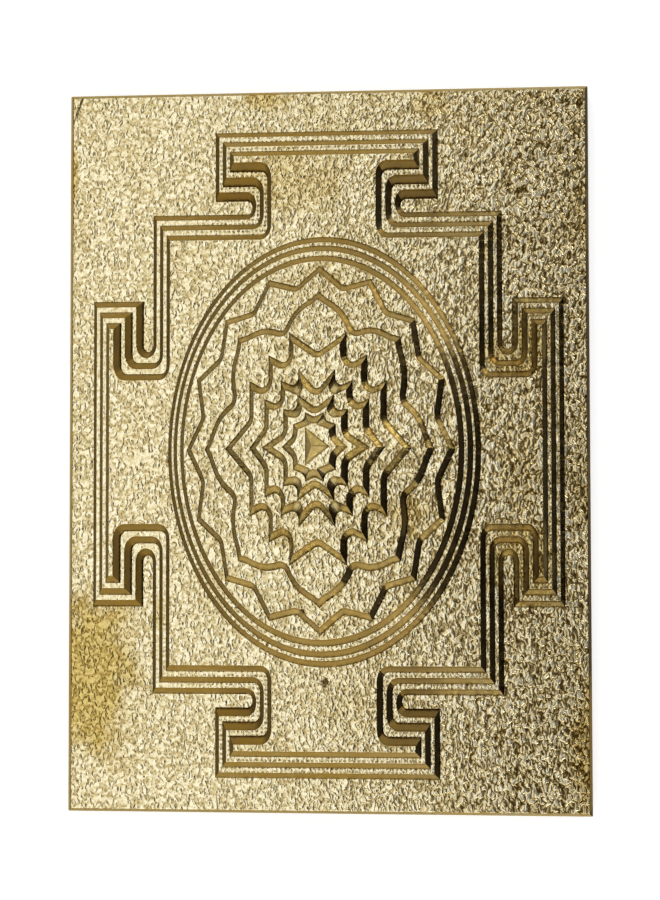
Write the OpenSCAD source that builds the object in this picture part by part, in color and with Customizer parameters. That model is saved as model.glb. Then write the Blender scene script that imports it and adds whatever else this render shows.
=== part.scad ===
// Meru shri yantra: a brass base plate that carries a square enclosure with four gates,
// three rings, two rows of lotus petals and four star terraces, rising to a three-sided peak.
// Plan sizes are written across X; along Y the whole pattern is longer by pattern_stretch.

/* [Pattern] */
// Length of the pattern along Y for each unit along X
pattern_stretch = 1.372; // [1:0.002:1.5]
// Lean of the walls above the square enclosure from upright, in degrees
wall_lean = 23; // [10:0.5:26]
// Radius left in the inside corners at the foot of a wall
inside_corner_r = 0.8; // [0.2:0.05:1]

/* [Base plate] */
// Thickness of the base plate
plate_t = 5; // [3:0.1:12]
// Plain margin of the plate outside the gates
plate_margin = 3.7; // [1:0.1:15]
// Extra margin beyond the far gate, on the side of +Y
far_margin_extra = 0.7; // [0:0.05:5]
// Width of the bevel round the upper edge
plate_top_bevel = 0.5; // [0.2:0.05:1.2]
// Width of the bevel round the lower edge
plate_foot_bevel = 0.3; // [0.1:0.05:1]

/* [Square enclosure] */
// Width across the square at the foot of its lowest step
square_w = 51.3; // [48:0.1:60]
// Width across two opposite gates at the foot
gate_reach_w = 69; // [66:0.1:90]
// Length of a gate's head at the foot
gate_head_l = 32.8; // [28:0.1:40]
// Width of a gate's neck at the foot
gate_neck_w = 21.9; // [16:0.1:25]
// Gap at the foot between a gate's head and the square
gate_gap = 1.35; // [0.8:0.05:1.6]
// Width of the crest that the three steps leave along a gate's head
gate_crest_w = 0.66; // [0.3:0.02:1.5]
// Flat tread on each step
square_tread = 0.5; // [0.2:0.05:0.6]
// Height of each step
square_step_h = 1.9; // [1.3:0.05:2.3]

/* [Rings] */
// Reach of the lowest ring past the line of the square's upper edge, into the gates' necks
ring_reach = 0.2; // [0:0.05:0.4]
// Tread on the lowest ring
ring_tread_1 = 0.3; // [0.1:0.05:1]
// Tread on the middle ring
ring_tread_2 = 0.46; // [0.1:0.02:1]
// Height of each ring
ring_step_h = 1.9; // [1.3:0.05:2.3]

/* [Lotus] */
// Land between the top ring's upper edge and the points of the sixteen petals
petal_16_land = 0.4; // [0.1:0.05:1.5]
// Depth of the sixteen petals, from point to valley
petal_16_depth = 1.8; // [1:0.05:3]
// Step in from the points of the sixteen petals to the points of the eight
petal_8_inset = 2.85; // [2:0.05:4]
// Depth of the eight petals, from point to valley
petal_8_depth = 3.1; // [2:0.05:4]
// Depth of the eight petals' shoulders below their points
petal_8_shoulder = 1.2; // [0.6:0.05:1.8]
// Height of each lotus terrace
lotus_step_h = 1.9; // [1.3:0.05:2.3]

/* [Outer star] */
// Reach of the end points along X
star_1_reach = 12.9; // [12:0.05:14]
// First tooth, distance along X
star_1_tooth_1_x = 4; // [3:0.05:5]
// First tooth, reach along Y
star_1_tooth_1_y = 11.75; // [11:0.05:12.2]
// Second tooth, distance along X
star_1_tooth_2_x = 6.85; // [6:0.05:8]
// Second tooth, reach along Y
star_1_tooth_2_y = 9.45; // [9:0.05:10]
// Third tooth, distance along X
star_1_tooth_3_x = 9.5; // [9:0.05:10.5]
// Third tooth, reach along Y
star_1_tooth_3_y = 6.85; // [6:0.05:7.5]
// Slope of the valley on the Y axis, in degrees
star_1_valley_slope = 27; // [15:1:35]
// Slope of the other teeth, in degrees
star_1_tooth_slope = 21; // [5:1:30]
// Slope of the end points, in degrees
star_1_end_slope = 41; // [30:1:45]

/* [Second star] */
// Reach of the end points along X
star_2_reach = 9.3; // [9:0.05:10]
// First tooth, distance along X
star_2_tooth_1_x = 2.55; // [2:0.05:3]
// First tooth, reach along Y
star_2_tooth_1_y = 7.95; // [7.6:0.05:8.4]
// Second tooth, distance along X
star_2_tooth_2_x = 4.95; // [4.5:0.05:5.5]
// Second tooth, reach along Y
star_2_tooth_2_y = 6.8; // [6.5:0.05:7.2]
// Third tooth, distance along X
star_2_tooth_3_x = 7.2; // [6.8:0.05:7.6]
// Third tooth, reach along Y
star_2_tooth_3_y = 4.95; // [4.5:0.05:5.4]
// Slope of the valley on the Y axis, in degrees
star_2_valley_slope = 41; // [25:1:45]
// Slope of the other teeth, in degrees
star_2_tooth_slope = 18; // [5:1:25]
// Slope of the end points, in degrees
star_2_end_slope = 45; // [35:1:50]

/* [Third star] */
// Reach of the end points along X
star_3_reach = 7.45; // [7.2:0.05:7.9]
// First tooth, distance along X
star_3_tooth_1_x = 2.5; // [2.2:0.05:2.9]
// First tooth, reach along Y
star_3_tooth_1_y = 5.3; // [5:0.05:5.6]
// Second tooth, distance along X
star_3_tooth_2_x = 4.4; // [4.1:0.05:4.8]
// Second tooth, reach along Y
star_3_tooth_2_y = 3.85; // [3.6:0.05:4.1]
// Slope of the valley on the Y axis, in degrees
star_3_valley_slope = 28; // [15:1:35]
// Slope of the other teeth, in degrees
star_3_tooth_slope = 7; // [0:1:15]
// Slope of the end points, in degrees
star_3_end_slope = 26; // [22:1:32]

/* [Inner star] */
// Reach of the end points along X
star_4_reach = 4.45; // [4.3:0.05:4.8]
// First tooth, distance along X
star_4_tooth_1_x = 1.3; // [1.1:0.05:1.5]
// First tooth, reach along Y
star_4_tooth_1_y = 3.45; // [3.35:0.05:3.7]
// Second tooth, distance along X
star_4_tooth_2_x = 2.9; // [2.7:0.05:3.1]
// Second tooth, reach along Y
star_4_tooth_2_y = 2.25; // [2.15:0.05:2.3]
// Slope of the valley on the Y axis, in degrees
star_4_valley_slope = 20; // [10:1:22]
// Slope of the other teeth, in degrees
star_4_tooth_slope = -16; // [-18:1:-5]
// Slope of the end points, in degrees
star_4_end_slope = 36; // [32:1:40]

/* [Stars] */
// Height of each star terrace
star_step_h = 1.9; // [1.3:0.05:2.1]

/* [Peak] */
// Distance from the middle of the peak to its corners
peak_corner_r = 2.2; // [1.6:0.02:2.2]
// Height of the peak
peak_h = 2.5; // [1:0.05:4]

/* [Seats] */
// Depth of the tenon under each terrace
tenon_h = 0.8; // [0.4:0.05:0.9]
// Clearance all round a tenon and under it
tenon_clear = 0.05; // [0.02:0.01:0.2]
// Width of the tenons under the square steps
square_tenon_w = 30; // [10:0.5:36]
// Width of the tenons under the rings
ring_tenon_w = 26; // [10:0.5:26]
// Width of the tenons under the lotus terraces
lotus_tenon_w = 17; // [8:0.5:20]
// Width of the tenon under the outer star
star_1_tenon_w = 10; // [4:0.5:12]
// Width of the tenon under the second star
star_2_tenon_w = 7; // [3:0.5:8]
// Width of the tenon under the third star
star_3_tenon_w = 4; // [2:0.25:5]
// Width of the tenon under the inner star
star_4_tenon_w = 2.6; // [1.6:0.1:3]
// Width of the tenon under the peak
peak_tenon_w = 1; // [0.6:0.05:1.2]

/* [Hidden] */

// Facets in an inside corner, in a whole ring and along one flank of the eight petals
corner_facets = 6;
ring_facets = 144;
flank_facets = 6;
// Turn, in degrees, beyond which an inside corner is rounded
sharp_turn = 30;
// Share of an edge that one rounded corner may take, beside a sharp corner and beside a rounded one
edge_share = 0.9;
shared_edge_share = 0.48;
// Share of an eight-petal flank that the shoulder takes, and how sharply the point rises beyond it
shoulder_share = 0.7;
point_power = 4;
// Height above a face to which a pocket's cutting block runs
cut_over = 1;

// Run of a wall, in plan, from its foot to its upper edge; the square's three walls and two treads
// fill a gate's head on both sides of its crest
gate_head_t = (gate_reach_w - square_w) / 2 - gate_gap;
square_run = ((gate_head_t - gate_crest_w) / 2 - 2 * square_tread) / 3;
ring_run = ring_step_h * tan(wall_lean);
lotus_run = lotus_step_h * tan(wall_lean);
star_run = star_step_h * tan(wall_lean);

// Levels of the terraces' undersides
z_square = plate_t;
z_ring = z_square + 3 * square_step_h;
z_lotus = z_ring + 3 * ring_step_h;
z_star = z_lotus + 2 * lotus_step_h;
z_peak = z_star + 4 * star_step_h;

// Place of the relief along Y on a plate that is centred on Z
relief_y = -far_margin_extra / 2 * pattern_stretch;

// Half widths in plan at the foot of each terrace, from the plate inwards
plate_half = gate_reach_w / 2 + plate_margin;
plate_half_l = (plate_half + far_margin_extra / 2) * pattern_stretch;
square_inset = square_run + square_tread;
ring_1_r = square_w / 2 - 2 * square_inset - square_run + ring_reach;
ring_2_r = ring_1_r - ring_run - ring_tread_1;
ring_3_r = ring_2_r - ring_run - ring_tread_2;
petal_16_r = ring_3_r - ring_run - petal_16_land;
petal_8_r = petal_16_r - petal_8_inset;

// Outlines run anticlockwise and are drawn before the stretch along Y
function unit(v) = v / norm(v);
function inward(v) = [-v[1], v[0]];
function turned(v, a) = [v[0] * cos(a) - v[1] * sin(a), v[0] * sin(a) + v[1] * cos(a)];
function before(p, i) = p[(i + len(p) - 1) % len(p)];
function after(p, i) = p[(i + 1) % len(p)];
function edge_in(p, i) = unit(p[i] - before(p, i));
function edge_out(p, i) = unit(after(p, i) - p[i]);

// Outline moved inwards by d, with its corners kept sharp
function inset_outline(p, d) = [
    for (i = [0:len(p) - 1])
        let (a = inward(edge_in(p, i)), b = inward(edge_out(p, i)))
        p[i] + d * (a + b) / (1 + a * b)
];

// Turn of the outline at a corner, in degrees, above zero at an inside corner
function inside_turn(p, i) =
    let (a = edge_in(p, i), b = edge_out(p, i))
    atan2(a[1] * b[0] - a[0] * b[1], a * b);
function is_rounded(p, i) = inside_turn(p, (i + len(p)) % len(p)) > sharp_turn;
function free_edge(p, j, length) = length * (is_rounded(p, j) ? shared_edge_share : edge_share);

// Corner point, or the arc that stands for it at an inside corner
function corner_points(p, i, r) =
    is_rounded(p, i)
    ? let (
        turn = inside_turn(p, i),
        a = edge_in(p, i),
        b = edge_out(p, i),
        room_in = free_edge(p, i - 1, norm(p[i] - before(p, i))),
        room_out = free_edge(p, i + 1, norm(after(p, i) - p[i])),
        tangent = min(r * tan(turn / 2), room_in, room_out),
        radius = tangent / tan(turn / 2),
        start = p[i] - a * tangent,
        centre = start - inward(a) * radius
      )
      [for (k = [0:corner_facets]) centre + turned(start - centre, -turn * k / corner_facets)]
    : [p[i]];
function eased_outline(p, r) = [for (i = [0:len(p) - 1]) each corner_points(p, i, r)];

// Quarter outline repeated round the four sides
function four_sides(q) = [for (s = [0:3]) each [for (v = q) turned(v, 90 * s)]];

// Square with a T-shaped gate on each side, at the foot of the lowest step
function square_outline() =
    let (m = square_w / 2, g = gate_reach_w / 2, h = gate_head_l / 2, n = gate_neck_w / 2, c = m + gate_gap)
    four_sides([[m, -m], [m, -n], [c, -n], [c, -h], [g, -h], [g, h], [c, h], [c, n], [m, n]]);

function polar(r, a) = r * [cos(a), sin(a)];
function ring_outline(r) = [for (i = [0:ring_facets - 1]) polar(r, 360 * i / ring_facets)];

// Row of n petals, one with its point on X; flank lists radii from the point to the valley
function petal_row(n, flank) =
    let (m = len(flank) - 1)
    [for (i = [0:n - 1]) each [for (k = [1 - m:m]) polar(flank[abs(k)], 360 / n * (i + k / m / 2))]];
function petal_16_outline() = petal_row(16, [petal_16_r, petal_16_r - petal_16_depth]);

// Radius on an ogee flank, t from 0 at the valley to 1 at the point
function ogee(t) =
    petal_8_r - petal_8_depth
    + (petal_8_depth - petal_8_shoulder) * sin(90 * min(1, t / shoulder_share))
    + petal_8_shoulder * pow(t, point_power);
function petal_8_outline() = petal_row(8, [for (k = [0:flank_facets]) ogee(1 - k / flank_facets)]);

// Star terrace: end points on X, and teeth whose outer sides run along Y
function tooth_valley(a, b, slope) = [a[0], b[1] - (b[0] - a[0]) * tan(slope)];
function star_quarter(reach, teeth, valley_slope, tooth_slope, end_slope) =
    let (last = len(teeth) - 1)
    concat(
        [[reach, 0], [teeth[last][0], (reach - teeth[last][0]) * tan(end_slope)]],
        [for (i = [last:-1:0])
            each i > 0 ? [teeth[i], tooth_valley(teeth[i - 1], teeth[i], tooth_slope)] : [teeth[i]]],
        [[0, teeth[0][1] - teeth[0][0] * tan(valley_slope)]]
    );
function star_outline(q) =
    let (n = len(q))
    concat(
        q,
        [for (i = [n - 2:-1:0]) [-q[i][0], q[i][1]]],
        [for (i = [1:n - 1]) [-q[i][0], -q[i][1]]],
        [for (i = [n - 2:-1:1]) [q[i][0], -q[i][1]]]
    );
function star_1_outline() =
    let (
        a = [star_1_tooth_1_x, star_1_tooth_1_y],
        b = [star_1_tooth_2_x, star_1_tooth_2_y],
        c = [star_1_tooth_3_x, star_1_tooth_3_y]
    )
    star_outline(
        star_quarter(star_1_reach, [a, b, c], star_1_valley_slope, star_1_tooth_slope, star_1_end_slope)
    );
function star_2_outline() =
    let (
        a = [star_2_tooth_1_x, star_2_tooth_1_y],
        b = [star_2_tooth_2_x, star_2_tooth_2_y],
        c = [star_2_tooth_3_x, star_2_tooth_3_y]
    )
    star_outline(
        star_quarter(star_2_reach, [a, b, c], star_2_valley_slope, star_2_tooth_slope, star_2_end_slope)
    );
function star_3_outline() =
    let (a = [star_3_tooth_1_x, star_3_tooth_1_y], b = [star_3_tooth_2_x, star_3_tooth_2_y])
    star_outline(
        star_quarter(star_3_reach, [a, b], star_3_valley_slope, star_3_tooth_slope, star_3_end_slope)
    );
function star_4_outline() =
    let (a = [star_4_tooth_1_x, star_4_tooth_1_y], b = [star_4_tooth_2_x, star_4_tooth_2_y])
    star_outline(
        star_quarter(star_4_reach, [a, b], star_4_valley_slope, star_4_tooth_slope, star_4_end_slope)
    );

function stretched(p, z) = [for (v = p) [v[0], v[1] * pattern_stretch, z]];

// Fans that close an outline's faces: each has a middle and the outline's points round it
function single_fan(n) = [[[0, 0], [for (i = [0:n - 1]) i]]];

// Fans of the gated square: one round the middle and one in each gate's head
function gated_fans() =
    let (
        a = corner_facets + 1,
        side = 4 * a + 5,
        gate = [for (k = [a + 1:3 * a + 4]) k],
        core = [for (k = [0:side - 1]) if (k <= a + 1 || k >= 3 * a + 4) k],
        gate_x = (square_w / 2 + gate_gap + gate_reach_w / 2) / 2
    )
    concat(
        [[[0, 0], [for (s = [0:3]) each [for (k = core) s * side + k]]]],
        [for (s = [0:3]) [turned([gate_x, 0], 90 * s), [for (k = gate) s * side + k]]]
    );

// Solid between a foot outline and, at height h, the same outline set in by the wall's run
module leaning_block(outline, h, run, gated) {
    foot = eased_outline(outline, inside_corner_r);
    edge = eased_outline(inset_outline(outline, run), inside_corner_r + run);
    n = len(foot);
    m = 2 * n;
    fans = gated ? gated_fans() : single_fan(n);
    middles = [for (f = fans) f[0]];
    walls = [for (i = [0:n - 1]) let (j = (i + 1) % n) each [[i, n + i, n + j], [i, n + j, j]]];
    caps = [
        for (k = [0:len(fans) - 1])
            let (loop = fans[k][1])
            for (i = [0:len(loop) - 1])
                let (p = loop[i], q = loop[(i + 1) % len(loop)])
                each [[m + k, p, q], [m + len(fans) + k, n + q, n + p]]
    ];
    polyhedron(
        points = concat(stretched(foot, 0), stretched(edge, h), stretched(middles, 0), stretched(middles, h)),
        faces = concat(walls, caps)
    );
}

// Block of a tenon or a pocket, centred on the relief
module seat_block(w, gap, z, h) {
    size = [w + 2 * gap, w * pattern_stretch + 2 * gap, h];
    translate([-size[0] / 2, -size[1] / 2, z])
        cube(size);
}

module pocket(w, face_z) {
    depth = tenon_h + tenon_clear;
    seat_block(w, tenon_clear, face_z - depth, depth + cut_over);
}

// Terrace seated at z, with a tenon below and a pocket for the next terrace's tenon above
module terrace(outline, z, h, run, tenon_w, pocket_w, gated = false) {
    translate([0, relief_y, z])
        difference() {
            union() {
                leaning_block(outline, h, run, gated);
                seat_block(tenon_w, 0, -tenon_h, tenon_h + (h - tenon_h - tenon_clear) / 2);
            }
            pocket(pocket_w, h);
        }
}

// Upright section of the plate across one axis, bevelled above and below
module plate_section(half) {
    polygon([
        [-half + plate_foot_bevel, 0],
        [half - plate_foot_bevel, 0],
        [half, plate_foot_bevel],
        [half, plate_t - plate_top_bevel],
        [half - plate_top_bevel, plate_t],
        [-half + plate_top_bevel, plate_t],
        [-half, plate_t - plate_top_bevel],
        [-half, plate_foot_bevel]
    ]);
}

module base_plate() {
    color("darkgoldenrod")
        difference() {
            intersection() {
                rotate([90, 0, 0])
                    linear_extrude(height = 2 * plate_half_l, center = true)
                        plate_section(plate_half);
                rotate([90, 0, 90])
                    linear_extrude(height = 2 * plate_half, center = true)
                        plate_section(plate_half_l);
            }
            translate([0, relief_y, 0])
                pocket(square_tenon_w, plate_t);
        }
}

module square_step(k, next_tenon_w) {
    outline = inset_outline(square_outline(), (k - 1) * square_inset);
    z = z_square + (k - 1) * square_step_h;
    color("goldenrod")
        terrace(outline, z, square_step_h, square_run, square_tenon_w, next_tenon_w, gated = true);
}

module square_step_1() {
    square_step(1, square_tenon_w);
}

module square_step_2() {
    square_step(2, square_tenon_w);
}

module square_step_3() {
    square_step(3, ring_tenon_w);
}

module ring_step(k, r, next_tenon_w) {
    z = z_ring + (k - 1) * ring_step_h;
    color("gold")
        terrace(ring_outline(r), z, ring_step_h, ring_run, ring_tenon_w, next_tenon_w);
}

module ring_step_1() {
    ring_step(1, ring_1_r, ring_tenon_w);
}

module ring_step_2() {
    ring_step(2, ring_2_r, ring_tenon_w);
}

module ring_step_3() {
    ring_step(3, ring_3_r, lotus_tenon_w);
}

module lotus_sixteen() {
    color("khaki")
        terrace(petal_16_outline(), z_lotus, lotus_step_h, lotus_run, lotus_tenon_w, lotus_tenon_w);
}

module lotus_eight() {
    z = z_lotus + lotus_step_h;
    color("palegoldenrod")
        terrace(petal_8_outline(), z, lotus_step_h, lotus_run, lotus_tenon_w, star_1_tenon_w);
}

module star_outer() {
    color("peru")
        terrace(star_1_outline(), z_star, star_step_h, star_run, star_1_tenon_w, star_2_tenon_w);
}

module star_second() {
    z = z_star + star_step_h;
    color("burlywood")
        terrace(star_2_outline(), z, star_step_h, star_run, star_2_tenon_w, star_3_tenon_w);
}

module star_third() {
    z = z_star + 2 * star_step_h;
    color("tan")
        terrace(star_3_outline(), z, star_step_h, star_run, star_3_tenon_w, star_4_tenon_w);
}

module star_inner() {
    z = z_star + 3 * star_step_h;
    color("wheat")
        terrace(star_4_outline(), z, star_step_h, star_run, star_4_tenon_w, peak_tenon_w);
}

module peak() {
    corners = stretched([for (i = [0:2]) polar(peak_corner_r, 120 * i)], 0);
    color("darkkhaki")
        translate([0, relief_y, z_peak]) {
            polyhedron(
                points = concat(corners, [[0, 0, peak_h]]),
                faces = [[0, 1, 2], [0, 3, 1], [1, 3, 2], [2, 3, 0]]
            );
            seat_block(peak_tenon_w, 0, -tenon_h, tenon_h + peak_h / 4);
        }
}

base_plate();
square_step_1();
square_step_2();
square_step_3();
ring_step_1();
ring_step_2();
ring_step_3();
lotus_sixteen();
lotus_eight();
star_outer();
star_second();
star_third();
star_inner();
peak();
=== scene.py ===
import bpy
from math import pi
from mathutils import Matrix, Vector


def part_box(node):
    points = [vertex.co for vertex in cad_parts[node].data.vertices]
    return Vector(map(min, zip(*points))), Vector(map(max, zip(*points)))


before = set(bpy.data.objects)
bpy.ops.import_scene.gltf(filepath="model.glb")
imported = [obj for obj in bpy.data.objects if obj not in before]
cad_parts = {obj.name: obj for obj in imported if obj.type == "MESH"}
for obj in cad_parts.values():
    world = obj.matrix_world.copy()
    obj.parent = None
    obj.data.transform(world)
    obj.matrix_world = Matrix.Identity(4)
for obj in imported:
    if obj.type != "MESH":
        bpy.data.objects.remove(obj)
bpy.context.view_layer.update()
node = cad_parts

# Base plate: a thick cast brass plate whose upper face is grained all over with a pointed punch.
# Its edges are softened by wear; one corner is cracked, and handling has left yellow-brown stains.
# Finishes are laid out in millimetres from the plate's middle; edge widths and depths are in metres.
MM = 1000                               # millimetres in the scene's unit


def top_of(name):
    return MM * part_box(name)[1].z


PLATE_THICK = top_of("base_plate")
PLATE_EDGE = 0.00012
SEAM_GAP = 2e-6                         # points closer than this are one point
FLAT_WITHIN = 0.004                     # faces this near to parallel, in radians, are one flat
SHARP_FROM = 0.44                       # wear rounds an edge sharper than this, in radians


def soften_edges(piece, width):
    """Rounds the sharp edges as wear does, once each flat is a single face."""
    weld = piece.modifiers.new("close seams", "WELD")
    weld.merge_threshold = SEAM_GAP
    clean = piece.modifiers.new("one face per flat", "DECIMATE")
    clean.decimate_type = "DISSOLVE"
    clean.angle_limit = FLAT_WITHIN
    edge = piece.modifiers.new("worn edges", "BEVEL")
    edge.width = width
    edge.segments = 2
    edge.limit_method = "ANGLE"
    edge.angle_limit = SHARP_FROM
    edge.use_clamp_overlap = False
    edge.harden_normals = True


def dress(names, finish, edge):
    for name in names:
        piece = node[name]
        piece.data.materials.clear()
        piece.data.materials.append(finish)
        soften_edges(piece, edge)


ring_low, ring_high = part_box("ring_step_1")
LONG = (ring_high.y - ring_low.y) / (ring_high.x - ring_low.x)      # the pattern is this much longer along Y
GRAZING_TINT = (0.94, 0.85, 0.67, 1)    # colour of the brass's shallow reflections
TO_THE_RIGHT = (0.99, -0.14, 0)
SPOT_CORE = 0.45                        # a spot is full inside this share of its half width
SPOT_END = 1.1                          # and gone past this one
SPOT_WAVES = 1.6                        # waves of a spot's outline in its half width
GRAIN_TWIST = 0.4
MOTTLE_ROUGH = 0.6


class Brass:
    """Node tree of one brass finish, with the object's own millimetres as its coordinates."""

    def __init__(self, name):
        self.material = bpy.data.materials.new(name)
        self.material.use_nodes = True
        self.tree = self.material.node_tree
        self.shader = self.tree.nodes["Principled BSDF"]
        self.shader.inputs["Metallic"].default_value = 1.0
        self.shader.inputs["Specular Tint"].default_value = GRAZING_TINT
        place = self.add("ShaderNodeTexCoord").outputs["Object"]
        self.mm = self.vector("MULTIPLY", place, (MM, MM, MM))
        self.even = self.vector("MULTIPLY", place, (MM, MM / LONG, MM))
        self.x, self.y, self.z = self.add("ShaderNodeSeparateXYZ", Vector=self.mm).outputs
        facing = self.add("ShaderNodeNewGeometry").outputs["True Normal"]
        self.up = self.add("ShaderNodeSeparateXYZ", Vector=facing).outputs["Z"]
        level = self.vector("NORMALIZE", self.vector("MULTIPLY", facing, (1, 1, 0)))
        self.right = self.vector("DOT_PRODUCT", level, TO_THE_RIGHT)

    def add(self, kind, settings=None, **inputs):
        made = self.tree.nodes.new(kind)
        for key, value in (settings or {}).items():
            setattr(made, key, value)
        for key, value in inputs.items():
            self.feed(made.inputs[key], value)
        return made

    def feed(self, socket, value):
        if isinstance(value, bpy.types.NodeSocket):
            self.tree.links.new(value, socket)
        else:
            socket.default_value = value

    def feed_all(self, sockets, values):
        for socket, value in zip(sockets, values):
            self.feed(socket, value)

    def vector(self, operation, *values):
        made = self.add("ShaderNodeVectorMath", {"operation": operation})
        self.feed_all(made.inputs, values)
        return made.outputs["Value" if operation in ("LENGTH", "DOT_PRODUCT") else "Vector"]

    def math(self, operation, *values):
        made = self.add("ShaderNodeMath", {"operation": operation})
        self.feed_all(made.inputs, values)
        return made.outputs[0]

    def total(self, *terms):
        """Sum of value-and-weight pairs."""
        total = 0.0
        for value, weight in terms:
            total = self.math("MULTIPLY_ADD", value, weight, total)
        return total

    def span(self, value, low, high, to_low=0.0, to_high=1.0, smooth=False):
        """Goes from to_low to to_high as the value goes from low to high, and stays there past either end."""
        made = self.add("ShaderNodeMapRange", {"interpolation_type": "SMOOTHSTEP" if smooth else "LINEAR"})
        self.feed_all(made.inputs, (value, low, high, to_low, to_high))
        return made.outputs[0]

    def across(self, start, end, left=0.0, right=1.0):
        """Goes from the left value to the right one between two places across the plate."""
        return self.span(self.x, start, end, left, right)

    def noise(self, per_mm, detail=2.0, rough=0.5, twist=0.0, place=None):
        made = self.add("ShaderNodeTexNoise", Vector=place or self.mm, Scale=per_mm, Detail=detail,
                        Roughness=rough, Distortion=twist)
        return made.outputs[0]

    def mottle(self, per_mm, detail=3.0):
        return self.noise(per_mm, detail, MOTTLE_ROUGH)

    def grain(self, per_mm):
        return self.noise(per_mm, detail=1.0, twist=GRAIN_TWIST, place=self.even)

    def centred(self, noise):
        """Noise that runs to both sides of zero."""
        return self.math("SUBTRACT", noise, 0.5)

    def bent(self, per_mm, reach):
        """The finish's coordinates, pushed sideways by up to half the reach."""
        flat_noise = {"noise_dimensions": "2D"}
        bend = self.add("ShaderNodeTexNoise", flat_noise, Vector=self.mm, Scale=per_mm, Detail=1.0)
        swing = self.vector("SUBTRACT", bend.outputs["Color"], (0.5, 0.5, 0.5))
        return self.vector("ADD", self.mm, self.vector("MULTIPLY", swing, (reach, reach, 0)))

    def patch(self, x, y, wide, tall, ragged):
        """Ragged spot, 1 at its middle and 0 outside, of the given half width and half height."""
        off = self.vector("SUBTRACT", self.mm, (x, y, 0))
        off = self.vector("LENGTH", self.vector("MULTIPLY", off, (1 / wide, 1 / tall, 0)))
        wander = self.math("MULTIPLY", self.centred(self.mottle(SPOT_WAVES / wide)), ragged)
        return self.span(self.math("ADD", off, wander), SPOT_CORE, SPOT_END, 1.0, 0.0, smooth=True)

    def patches(self, spots, ragged):
        """Spots, each given as x, y, half width, half height and strength."""
        cover = 0.0
        for *spot, strength in spots:
            spot = self.math("MULTIPLY", self.patch(*spot, ragged), strength)
            cover = self.math("MAXIMUM", spot, cover)
        return cover

    def ramp(self, value, *stops):
        made = self.add("ShaderNodeValToRGB", Fac=value)
        ends = made.color_ramp.elements
        ends[0].position, ends[1].position = stops[0][0], stops[-1][0]
        ends[0].color, ends[1].color = (*stops[0][1], 1), (*stops[-1][1], 1)
        for place, colour in stops[1:-1]:
            ends.new(place).color = (*colour, 1)
        return made.outputs["Color"]

    def blend(self, share, under, over, way="MIX"):
        made = self.add("ShaderNodeMix", {"data_type": "RGBA", "blend_type": way})
        colours = [part if isinstance(part, bpy.types.NodeSocket) else (*part, 1) for part in (under, over)]
        self.feed_all((made.inputs[0], made.inputs[6], made.inputs[7]), (share, *colours))
        return made.outputs[2]

    def mix(self, share, under, over):
        made = self.add("ShaderNodeMix", {"data_type": "FLOAT"})
        self.feed_all((made.inputs[0], made.inputs[2], made.inputs[3]), (share, under, over))
        return made.outputs[0]


GRAIN_TURN = (0, 28)                    # X where the grain's left look ends, and where its right look begins
SPECK_TURN = (4, 24)
FURROWS_PER_MM = 1.25
FURROW_WIDTH = (0.12, 0.15)             # on the left and on the right, as is the next
FURROW_DEPTH = (0.56, 1.1)
STAIN_DEEPENS = 0.08                    # added to a furrow's depth under a full stain
FINE_SPECKS_PER_MM = 2.6
COARSE_SPECKS_PER_MM = 1.4


def scaled(parts, factor):
    return tuple(factor * part for part in parts)


def punched_grain(brass, age, rub):
    """Specks, and the worm-like furrows between them: thin on the left, broad and deep on the right."""
    depth = brass.across(*GRAIN_TURN, *scaled(FURROW_DEPTH, 1 - rub))
    depth = brass.math("MULTIPLY_ADD", age, STAIN_DEEPENS, depth)
    width = brass.across(*GRAIN_TURN, *FURROW_WIDTH)
    off_line = brass.math("ABSOLUTE", brass.centred(brass.grain(FURROWS_PER_MM)))
    furrow = brass.span(off_line, 0.0, width, depth, 0.0, smooth=True)
    fine = brass.grain(FINE_SPECKS_PER_MM)
    coarse = brass.grain(COARSE_SPECKS_PER_MM)
    return brass.mix(brass.across(*SPECK_TURN), fine, coarse), furrow


DOT_WAVE = 9.4                          # radians to the millimetre: a dot every 0.67 mm
DOT_BENDS_PER_MM = 0.6                  # how often and how far the rows of dots waver
DOT_BEND = 0.5
DOT_RISE = (0.6, 1.4)                   # sums of the two waves at which a dot begins and is full
DOT_DEPTH = 0.55
DOTS_BEGIN = (-24, -12)                 # X between which the dots come up from faint to full
FAINT_DOT = 0.15
TREAD_GRAIN = 0.4                       # share of the grain that is left between the dots


def punch_dots(brass):
    """Dots along the narrow treads, faint at the far left."""
    wave = brass.vector("MULTIPLY", brass.bent(DOT_BENDS_PER_MM, DOT_BEND), (DOT_WAVE, DOT_WAVE, 0))
    row = brass.add("ShaderNodeSeparateXYZ", Vector=brass.vector("SINE", wave)).outputs
    dots = brass.span(brass.math("ADD", row["X"], row["Y"]), *DOT_RISE, 0.0, DOT_DEPTH, smooth=True)
    return brass.math("MULTIPLY", dots, brass.across(*DOTS_BEGIN, FAINT_DOT, 1.0))


CRACK_SLOPE = (0.94, -0.34)             # across the crack, in X and Y
CRACK_OFF = 51.70                       # from the plate's middle to the crack, which wanders out from there
CRACK_CORE = 0.06                       # half widths of its full and its faded part
CRACK_FADE = 0.16
CRACK_END = 47.3                        # Y of its near end, and the length over which it runs out
CRACK_TAPER = 0.6
CRACK_BENDS_PER_MM = 1.2
CRACK_WANDER = 0.5
CRACK_DEPTH = 0.8


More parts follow.
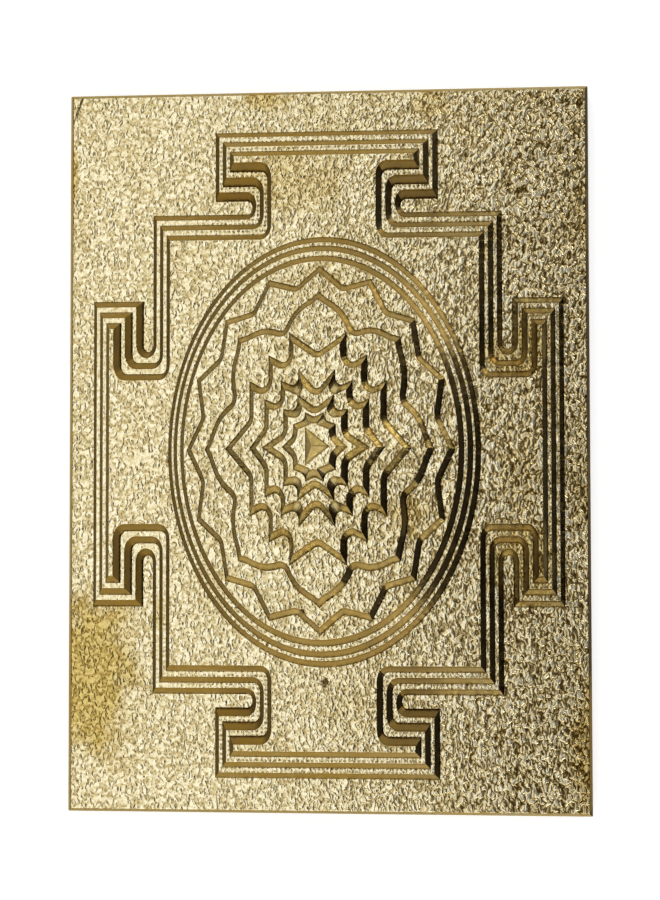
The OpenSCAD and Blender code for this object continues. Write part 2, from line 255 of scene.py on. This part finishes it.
def corner_crack(brass):
    """Ragged line across the far left corner."""
    wander = (brass.noise(CRACK_BENDS_PER_MM), CRACK_WANDER)
    line = brass.total((brass.x, CRACK_SLOPE[0]), (brass.y, CRACK_SLOPE[1]), wander)
    off_line = brass.math("ABSOLUTE", brass.math("ADD", line, CRACK_OFF))
    crack = brass.span(off_line, CRACK_CORE, CRACK_FADE, 1.0, 0.0)
    crack = brass.math("MULTIPLY", crack, brass.span(brass.y, CRACK_END, CRACK_END + CRACK_TAPER))
    return brass.math("MULTIPLY", crack, CRACK_DEPTH)


DARK_TOP = 0.16                         # places up a wall, in shares of its height
LOW_WALL = 0.38
HIGH_WALL = 0.74
RIM_FOOT = 0.88
FOOT_DARK = (0.04, 0.026, 0.007)
LOW_DARK = (0.05, 0.033, 0.009)
LOW_WALL_BRASS = (0.47, 0.395, 0.19)
HIGH_WALL_BRASS = (0.51, 0.43, 0.21)
DULL_BRASS = (0.30, 0.24, 0.10)
DULL_PER_MM = 0.8
DULL_SPAN = (0.35, 0.75)                # noise at which a dull spot begins and is full
DULL_MOST = 0.5
FINE_DETAIL = 4.0
RIM_BRASS = (1.0, 0.7, 0.24)
UNDER_RIM = (0.09, 0.065, 0.02)         # added to the rim's colour just under it
STAINED_WALL_TINT = (1.05, 0.92, 0.66)
RIGHT_WALL_TINT = (1.12, 1.18, 1.45)
RIGHT_WALL_TURN = (4, 26)
CLEAN_LIGHT = 1.25                      # lightness of a wall without tarnish
BROWN_DULLS = 0.3                       # and how much of it the brownest wall loses


def wall_metal(brass, step, age, brown, rim):
    """Bare brass of a wall: darker at its foot, lighter up its height, and darker at its rim."""
    light = CLEAN_LIGHT - BROWN_DULLS * brown
    rim_brass = scaled(RIM_BRASS, rim)
    under_rim = tuple(part + more for part, more in zip(rim_brass, UNDER_RIM))
    walls = brass.ramp(
        step, (0.0, FOOT_DARK), (DARK_TOP, LOW_DARK), (LOW_WALL, scaled(LOW_WALL_BRASS, light)),
        (HIGH_WALL, scaled(HIGH_WALL_BRASS, light)), (RIM_FOOT, under_rim), (1.0, rim_brass))
    dull = brass.span(brass.mottle(DULL_PER_MM, FINE_DETAIL), *DULL_SPAN, 0.0, DULL_MOST)
    walls = brass.blend(dull, walls, scaled(DULL_BRASS, light))
    walls = brass.blend(age, walls, STAINED_WALL_TINT, "MULTIPLY")
    return brass.blend(brass.across(*RIGHT_WALL_TURN), walls, RIGHT_WALL_TINT, "MULTIPLY")


CRUST_TURN = (4, 27)
RIGHT_CRUST = 0.08                      # share of the tarnish that is left on the right
STAIN_CRUST = 0.25                      # tarnish that a full stain brings
CRUST_PER_MM = 0.35
CRUST_SPAN = (0.3, 0.6)                 # noise at which the tarnish is thinnest and full
CRUST_LEAST = 0.6
CRUST_FOOT = (0.1, 0.35)                # shares of a wall's height between which the tarnish begins


def wall_crust(brass, step, age, brown):
    """How far brown tarnish covers a wall: thin towards the right, and none at the foot."""
    crust = brass.across(*CRUST_TURN, brown, RIGHT_CRUST * brown)
    ragged = brass.span(brass.mottle(CRUST_PER_MM), *CRUST_SPAN, CRUST_LEAST, 1.0)
    crust = brass.math("MULTIPLY", crust, ragged)
    crust = brass.math("MAXIMUM", crust, brass.math("MULTIPLY", age, STAIN_CRUST))
    return brass.math("MULTIPLY", crust, brass.span(step, *CRUST_FOOT))


# Painted shade on walls that face right, standing in for the dark side of the room.
PAINTED_SHADE_TURN = (-20, 0)
PAINTED_SHADE_COVER = (0.3, 0.95)               # on the left and on the right
PAINTED_SHADE_FACING = (0.90, 0.99)             # how squarely a wall faces right where the painted shade begins and is full
PAINTED_SHADE_PER_MM = 1.5
PAINTED_SHADE_RAGGED = 0.16
STAIN_SPAN = (0.2, 0.75)                # stain at which the painted shade begins to thin, and is thinnest
STAIN_THINS = 0.6                       # share of the painted shade that is left there


def wall_painted_shade(brass, age):
    """How far painted shade darkens a wall: only walls that face right, and less on the left and in a stain.
    """
    facing = brass.math("MULTIPLY_ADD", brass.noise(PAINTED_SHADE_PER_MM), PAINTED_SHADE_RAGGED, brass.right)
    cover = brass.across(*PAINTED_SHADE_TURN, *PAINTED_SHADE_COVER)
    painted_shade = brass.span(facing, *PAINTED_SHADE_FACING, 0.0, cover, smooth=True)
    return brass.math("MULTIPLY", painted_shade, brass.span(age, *STAIN_SPAN, 1.0, STAIN_THINS))


SHADOW_TURN = (-10, 24)
SHADOW_FACING = (-0.95, -0.4)           # how squarely a wall faces left where it is darkest, and no darker
CLEAN_SHADOW = 0.1                      # on the left, without tarnish
BROWN_SHADOW = (0.72, 0.35)             # what full tarnish adds on the left and on the right


def wall_shadow(brass, brown):
    """How far painted shade darkens a wall that faces left, most on the left."""
    on_left, on_right = scaled(BROWN_SHADOW, brown)
    darkest = brass.across(*SHADOW_TURN, CLEAN_SHADOW + on_left, on_right)
    return brass.span(brass.right, *SHADOW_FACING, darkest, 0.0)


WALL_UP = 0.8                           # a face whose normal rises less than this is a wall
FLAT_UP = 0.97                          # and one that rises more than this is a flat
FURROW_BROWN = (0.13, 0.08, 0.02)
RUBBED_BRASS = (0.68, 0.55, 0.27)
BRIGHT_BRASS = (0.99, 0.91, 0.64)
# painted tint of the flats on the shaded right side
SHADED_SIDE_TINT = (1.02, 0.99, 0.95)
SHADED_SIDE_TINT_TURN = (-8, 28)
FURROW_SHADE = -0.55                    # what furrows, marks and the right side add to the specks' shade; the right side's share is painted light
MARK_SHADE = -0.5
RIGHT_PAINTED_LIGHT = 0.07
RIGHT_PAINTED_LIGHT_TURN = (0, 26)
SHADES = (-0.1, 0.60)                   # the darkest and the brightest shade
RUBBED_AT = 0.54                        # where rubbed brass lies between them
CLOUDS_PER_MM = 0.1
CLOUD_SPAN = (0.5, 0.75)                # noise at which a cloud of faint stain begins and is full
CLOUD_AGE = 0.4
STAIN_TINT = (0.74, 0.63, 0.33)
STAIN_RAGGED = 1.4
DENT_RAGGED = 0.5
STEP_WAVES_PER_MM = 2.2
STEP_WAVER = 0.22                       # how far a wall's bands of colour waver, in shares of its height
CRUST_BROWN = (0.52, 0.315, 0.05)
# colour of the painted shade on walls that face right
LIGHTEST_PAINTED_SHADE = (0.05, 0.033, 0.017)
PAINTED_SHADE_DARKENING = (0.036, 0.024, 0.012)     # taken from it on the brownest walls
# colour of the painted shade on walls that face left
LEFT_WALL_SHADE = (0.11, 0.07, 0.016)
CRUST_METAL = 0.1                       # tarnish is dull, and hides the metal
CRUST_GLOSS = 0.05
CRUST_ROUGH = 0.6
WALL_ROUGH = 0.2
FURROW_ROUGH = 0.22
BRIGHT_ROUGH = (0.11, 0.24)             # on the left and on the right
GRAIN_DEPTH = 0.00013
SPECK_HEIGHT = 0.55                     # shares of that depth, as are the next four
FURROW_HEIGHT = -0.36
MARK_HEIGHT = -0.7
FILED_WALL = 0.12
FILED_FLAT = 0.02
FILED_PER_MM = 3.0


def grained_brass(name, foot, rise, stains=(), dents=(), cracked=False, dotted=False, brown=0.0, rub=0.0,
                  rim=0.08):
    """Punched flats and smooth walls, darkened by age and by painted shade, each wall rising from a level
    foot + n * rise.

    brown is how tarnished the walls are, rub how far the grain is worn off, and rim how bright the walls'
    upper edges are.
    """
    brass = Brass(name)
    flat = brass.span(brass.up, WALL_UP, FLAT_UP, smooth=True)
    cloudy = brass.span(brass.mottle(CLOUDS_PER_MM, FINE_DETAIL), *CLOUD_SPAN, 0.0, CLOUD_AGE)
    age = brass.math("MAXIMUM", brass.patches(stains, STAIN_RAGGED), cloudy)
    speck, furrow = punched_grain(brass, age, rub)
    mark = brass.patches(dents, DENT_RAGGED)
    if dotted:
        mark = brass.math("MAXIMUM", punch_dots(brass), mark)
        furrow = brass.math("MULTIPLY", furrow, TREAD_GRAIN)
    if cracked:
        mark = brass.math("MAXIMUM", corner_crack(brass), mark)
    # painted light: the flats are made lighter towards the right
    on_right = brass.across(*RIGHT_PAINTED_LIGHT_TURN)
    shade = brass.total((speck, 1.0), (furrow, FURROW_SHADE), (mark, MARK_SHADE), (on_right, RIGHT_PAINTED_LIGHT))
    shade = brass.span(shade, *SHADES)
    flats = brass.ramp(shade, (0.0, FURROW_BROWN), (RUBBED_AT, RUBBED_BRASS), (1.0, BRIGHT_BRASS))
    # painted tint of the shaded right side
    flats = brass.blend(brass.across(*SHADED_SIDE_TINT_TURN), flats, SHADED_SIDE_TINT, "MULTIPLY")
    flats = brass.blend(age, flats, STAIN_TINT, "MULTIPLY")

    step = brass.math("FRACT", brass.math("DIVIDE", brass.math("SUBTRACT", brass.z, foot), rise))
    waver = brass.centred(brass.noise(STEP_WAVES_PER_MM, detail=1.0))
    step = brass.total((step, 1.0), (waver, STEP_WAVER))
    crust = wall_crust(brass, step, age, brown)
    walls = brass.blend(crust, wall_metal(brass, step, age, brown, rim), CRUST_BROWN)
    painted_shade = tuple(thin - brown * more for thin, more in zip(LIGHTEST_PAINTED_SHADE, PAINTED_SHADE_DARKENING))
    # painted shade on walls that face right
    walls = brass.blend(wall_painted_shade(brass, age), walls, painted_shade)
    # painted shade on walls that face left
    walls = brass.blend(wall_shadow(brass, brown), walls, LEFT_WALL_SHADE)

    shader = brass.shader.inputs
    brass.feed(shader["Base Color"], brass.blend(flat, walls, flats))
    wall_metallic = brass.span(crust, 0.0, 1.0, 1.0, CRUST_METAL)
    brass.feed(shader["Metallic"], brass.mix(flat, wall_metallic, 1.0))
    shader["Specular IOR Level"].default_value = CRUST_GLOSS
    wall_rough = brass.span(crust, 0.0, 1.0, WALL_ROUGH, CRUST_ROUGH)
    flat_rough = brass.span(shade, 0.0, 1.0, FURROW_ROUGH, brass.across(*GRAIN_TURN, *BRIGHT_ROUGH))
    brass.feed(shader["Roughness"], brass.mix(flat, wall_rough, flat_rough))
    height = brass.total((speck, SPECK_HEIGHT), (furrow, FURROW_HEIGHT), (mark, MARK_HEIGHT))
    filed = brass.span(flat, 0.0, 1.0, FILED_WALL, FILED_FLAT)
    relief = brass.total((brass.math("MULTIPLY", height, flat), 1.0), (brass.mottle(FILED_PER_MM), filed))
    bump = brass.add("ShaderNodeBump", Strength=1.0, Distance=GRAIN_DEPTH, Height=relief)
    brass.feed(shader["Normal"], bump.outputs["Normal"])
    return brass.material


TOP_SPARE = 0.01                        # keeps the plate's upper edge from counting as a next wall's foot
plate_stains = [                        # each is x, y, half width, half height and strength
    (-35, -33, 8.5, 15, 1.0), (15.5, 51, 3.5, 3, 0.6), (-9, 51.5, 4, 2, 0.8), (37, 34, 2.4, 9, 0.4),
    (37, -6, 2, 9, 0.35), (38, -43, 4, 12, 0.8), (-38, 41, 1.2, 6, 1.0)]
plate_brass = grained_brass("plate_brass", 0.0, PLATE_THICK + TOP_SPARE, plate_stains, cracked=True, rim=0.25)
dress(["base_plate"], plate_brass, PLATE_EDGE)

# Square enclosure: three brass steps, each with a gate on every side, soldered one on the next.
# Their walls are cut smooth and browned by age; rows of punch dots run along the two narrow treads.
# The wide field on top carries the plate's grain, and has one dent.
STEP_RISE = top_of("square_step_1") - PLATE_THICK
STEP_EDGE = 0.00007
gate_stains = [
    (28, -4, 3.5, 8, 0.35), (28, -16, 6, 7, 0.75), (27.5, 15, 6, 6, 0.75), (-5, 39, 9, 6, 0.5),
    (-25, -24, 2.5, 3, 0.6)]
field_dent = (0.2, -33.4, 0.55, 1.0, 1.0)


def terrace_brass(name, **look):
    return grained_brass(name, PLATE_THICK, STEP_RISE, **look)


tread_brass = terrace_brass("tread_brass", stains=gate_stains, dotted=True, brown=0.9)
field_brass = terrace_brass("field_brass", stains=gate_stains, dents=[field_dent], brown=0.9)
dress(["square_step_1", "square_step_2"], tread_brass, STEP_EDGE)
dress(["square_step_3"], field_brass, STEP_EDGE)

# Rings: three oval brass steps standing on the field, soldered one on the next.
# Their leaning walls are cut smooth, and the narrow treads between them are dotted with a punch.
RING_EDGE = 0.00006
ring_brass = terrace_brass("ring_brass", dotted=True, brown=0.7)
ring_top_brass = terrace_brass("ring_top_brass", brown=0.7)
dress(["ring_step_1", "ring_step_2"], ring_brass, RING_EDGE)
dress(["ring_step_3"], ring_top_brass, RING_EDGE)

# Lotus terraces: two brass plates with sawn and filed petals along their edges, sixteen and then eight.
# They are soldered in a stack; their flats carry the plate's grain, with a stain and a pit.
PETAL_EDGE = 0.00007
petal_stain = (12.5, -9.8, 3, 3.5, 0.7)
petal_pit = (-2.5, -22.9, 0.45, 0.5, 1.0)
lotus_brass = terrace_brass("lotus_brass", stains=[petal_stain], dents=[petal_pit], brown=0.4)
dress(["lotus_sixteen", "lotus_eight"], lotus_brass, PETAL_EDGE)

# Star terraces: four toothed brass plates of falling size, sawn to shape and soldered in a stack.
# The flats keep the grain, which is half rubbed off on the upper two.
TOOTH_EDGE = 0.00006
star_brass = terrace_brass("star_brass", brown=0.15, rim=0.2)
star_top_brass = terrace_brass("star_top_brass", brown=0.15, rub=0.6, rim=0.2)
dress(["star_outer", "star_second"], star_brass, TOOTH_EDGE)
dress(["star_third", "star_inner"], star_top_brass, TOOTH_EDGE)

# Peak: a small three-sided brass point soldered in the middle of the innermost star.
# Its faces are rubbed smooth; its colour is darker at the foot, and painted shade darkens the right tip and
# the ridge that runs to it.
PEAK_FOOT = top_of("star_inner")
PEAK_EDGE = 0.00003
PEAK_RIPPLE = 0.00004
PEAK_ROUGH = (0.26, 0.36)
POLISH_PER_MM = 2.5
ROUGH_PER_MM = 4.0
RIPPLE_PER_MM = 2.0
MOST_NOISE = (0.3, 0.7)                 # most of a noise lies between these
RIDGE_WIDE = (0.02, 0.10)               # half widths of the ridge's full and faded painted shade
RIDGE_FROM = (0.0, 0.1)                 # X between which the ridge's painted shade begins, and then the tip's
TIP_FROM = (1.5, 1.9)
FOOT_HIGH = (0.05, 0.4)                 # heights between which the foot's darkening fades
RIDGE_SHADE = 0.7
FOOT_DARK_AND_TIP_SHADE = 0.9
peak_low, peak_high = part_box("peak")
RIDGE_Y = MM * (peak_low.y + peak_high.y) / 2
DULL_POINT = (0.50, 0.405, 0.175)
RUBBED_POINT = (0.61, 0.505, 0.24)
# colour of the darker foot and of the painted shade on the right tip and ridge
POINT_DARK_AND_SHADE = (0.09, 0.055, 0.014)
point = Brass("peak_brass")
polish = point.span(point.mottle(POLISH_PER_MM), *MOST_NOISE)
off_ridge = point.math("ABSOLUTE", point.math("SUBTRACT", point.y, RIDGE_Y))
# painted shade along the ridge that runs to the right tip
ridge_shade = point.span(off_ridge, *RIDGE_WIDE, RIDGE_SHADE, 0.0)
ridge_shade = point.math("MULTIPLY", ridge_shade, point.across(*RIDGE_FROM))
foot_dark = point.span(point.z, *(PEAK_FOOT + high for high in FOOT_HIGH), FOOT_DARK_AND_TIP_SHADE, 0.0)
# painted shade on the right tip
tip_shade = point.across(*TIP_FROM, 0.0, FOOT_DARK_AND_TIP_SHADE)
dark_and_shade = point.math("MAXIMUM", tip_shade, point.math("MAXIMUM", foot_dark, ridge_shade))
point_colour = point.blend(dark_and_shade, point.blend(polish, DULL_POINT, RUBBED_POINT), POINT_DARK_AND_SHADE)
point.feed(point.shader.inputs["Base Color"], point_colour)
point_rough = point.span(point.noise(ROUGH_PER_MM), *MOST_NOISE, *PEAK_ROUGH)
point.feed(point.shader.inputs["Roughness"], point_rough)
uneven = point.mottle(RIPPLE_PER_MM)
ripple = point.add("ShaderNodeBump", Strength=1.0, Distance=PEAK_RIPPLE, Height=uneven)
point.feed(point.shader.inputs["Normal"], ripple.outputs["Normal"])
dress(["peak"], point.material, PEAK_EDGE)

# Studio: a pale painted floor in a dim room with a pale backdrop, all sizes in metres.
# A broad soft box hangs high on the left, long ones stand at the far and near sides, and two small ones off
# the right corners. The white of floor and backdrop shows only to the camera and in mirrors.
FLOOR_HALF = 3.0
FLOOR_PAINT = (0.82, 0.82, 0.81, 1)
FLOOR_ROUGH = 0.9
PART_REACH = 0.3                        # the floor under the part is lit, so it glows less there
FLOOR_FAR = 0.9
NEAR_GLOW = 0.62
FULL_GLOW = 1.0
WHITE = (1, 1, 1, 1)
floor_mesh = bpy.data.meshes.new("floor")
corner_sides = ((-1, -1), (1, -1), (1, 1), (-1, 1))
floor_corners = [(across * FLOOR_HALF, along * FLOOR_HALF, 0) for across, along in corner_sides]
floor_mesh.from_pydata(floor_corners, [], [(0, 1, 2, 3)])
floor = bpy.data.objects.new("floor", floor_mesh)
bpy.context.scene.collection.objects.link(floor)
pale = bpy.data.materials.new("pale_floor")
pale.use_nodes = True
floor_mesh.materials.append(pale)
paint_tree = pale.node_tree
paint = paint_tree.nodes["Principled BSDF"]
paint.inputs["Base Color"].default_value = FLOOR_PAINT
paint.inputs["Roughness"].default_value = FLOOR_ROUGH
paint.inputs["Emission Color"].default_value = WHITE


def combine(tree, operation, one, other):
    made = tree.nodes.new("ShaderNodeMath")
    made.operation = operation
    tree.links.new(one, made.inputs[0])
    tree.links.new(other, made.inputs[1])
    return made.outputs[0]


def rescale(tree, value, low, high, to_low, to_high):
    made = tree.nodes.new("ShaderNodeMapRange")
    tree.links.new(value, made.inputs["Value"])
    for socket, end in zip(made.inputs[1:5], (low, high, to_low, to_high)):
        socket.default_value = end
    return made.outputs["Result"]


def mirrored(tree):
    """1 for a ray that metal or glass sends on."""
    ray = tree.nodes.new("ShaderNodeLightPath").outputs
    return combine(tree, "MAXIMUM", ray["Is Glossy Ray"], ray["Is Transmission Ray"])


def seen(tree):
    """1 for a ray from the camera."""
    return tree.nodes.new("ShaderNodeLightPath").outputs["Is Camera Ray"]


spot = paint_tree.nodes.new("ShaderNodeTexCoord")
reach = paint_tree.nodes.new("ShaderNodeVectorMath")
reach.operation = "LENGTH"
paint_tree.links.new(spot.outputs["Object"], reach.inputs[0])
away = rescale(paint_tree, reach.outputs["Value"], PART_REACH, FLOOR_FAR, NEAR_GLOW, FULL_GLOW)
looked_at = combine(paint_tree, "MAXIMUM", seen(paint_tree), mirrored(paint_tree))
paint_tree.links.new(combine(paint_tree, "MULTIPLY", looked_at, away), paint.inputs["Emission Strength"])

ROOM_LEVELS = ((0.0, 0.1), (0.3, 0.03), (0.8, 0.03), (1.0, 0.12))   # brightness by height, horizon to top
BACKDROP_FROM = 0.08                    # in mirrors, the backdrop fades out between these two heights
BACKDROP_TO = 0.2
world = bpy.data.worlds.new("studio")
world.use_nodes = True
bpy.context.scene.world = world
sky = world.node_tree
room = sky.nodes["Background"]
way = sky.nodes.new("ShaderNodeTexCoord")
split = sky.nodes.new("ShaderNodeSeparateXYZ")
sky.links.new(way.outputs["Generated"], split.inputs["Vector"])
up = split.outputs["Z"]
rise = sky.nodes.new("ShaderNodeValToRGB")
stops = rise.color_ramp.elements
for place, _ in ROOM_LEVELS[1:-1]:
    stops.new(place)
for stop, (_, level) in zip(stops, ROOM_LEVELS):
    stop.color = (level, level, level, 1)
sky.links.new(up, rise.inputs["Fac"])
backdrop = combine(sky, "MULTIPLY", mirrored(sky), rescale(sky, up, BACKDROP_FROM, BACKDROP_TO, 1.0, 0.0))
bright = combine(sky, "MAXIMUM", rise.outputs["Color"], combine(sky, "MAXIMUM", seen(sky), backdrop))
room.inputs["Color"].default_value = WHITE
sky.links.new(bright, room.inputs["Strength"])


def soft_box(name, place, aim, size, glow):
    """Rectangular light of the given size and brightness, turned to the point it is aimed at."""
    lamp = bpy.data.lights.new(name, "AREA")
    lamp.shape = "RECTANGLE"
    lamp.size, lamp.size_y = size
    lamp.energy = pi * size[0] * size[1] * glow
    holder = bpy.data.objects.new(name, lamp)
    holder.location = place
    holder.rotation_euler = (Vector(aim) - Vector(place)).to_track_quat("-Z", "Y").to_euler()
    bpy.context.scene.collection.objects.link(holder)


soft_box("high_left", place=(-0.19, 0.0, 0.55), aim=(-0.19, 0, 0), size=(0.43, 1.3), glow=0.97)
soft_box("far_side", place=(-0.03, 0.58, 0.40), aim=(-0.03, 0, 0.1), size=(0.95, 0.36), glow=0.8)
soft_box("near_side", place=(-0.12, -0.58, 0.40), aim=(-0.12, 0, 0.1), size=(0.8, 0.36), glow=1.2)
soft_box("far_right", place=(0.46, 0.40, 0.59), aim=(0, 0, 0), size=(0.3, 0.3), glow=3.6)
soft_box("near_right", place=(0.37, -0.49, 0.59), aim=(0, 0, 0), size=(0.25, 0.3), glow=3.6)

# Camera: almost straight above the part, a little to the right and towards the near side.
# Its place and lens were fitted to the plate's corners and the edges of the terraces in the photo.
camera = bpy.data.cameras.new("camera")
camera.lens = 68.763
camera.sensor_width = 36
camera.clip_start = 0.01
eye = bpy.data.objects.new("camera", camera)
eye.location = (0.019768, -0.009865, 0.255)
eye.rotation_euler = (0.038856, 0.077055, -0.001594)
bpy.context.scene.collection.objects.link(eye)
bpy.context.scene.camera = eye
bpy.context.scene.view_settings.view_transform = "Standard"
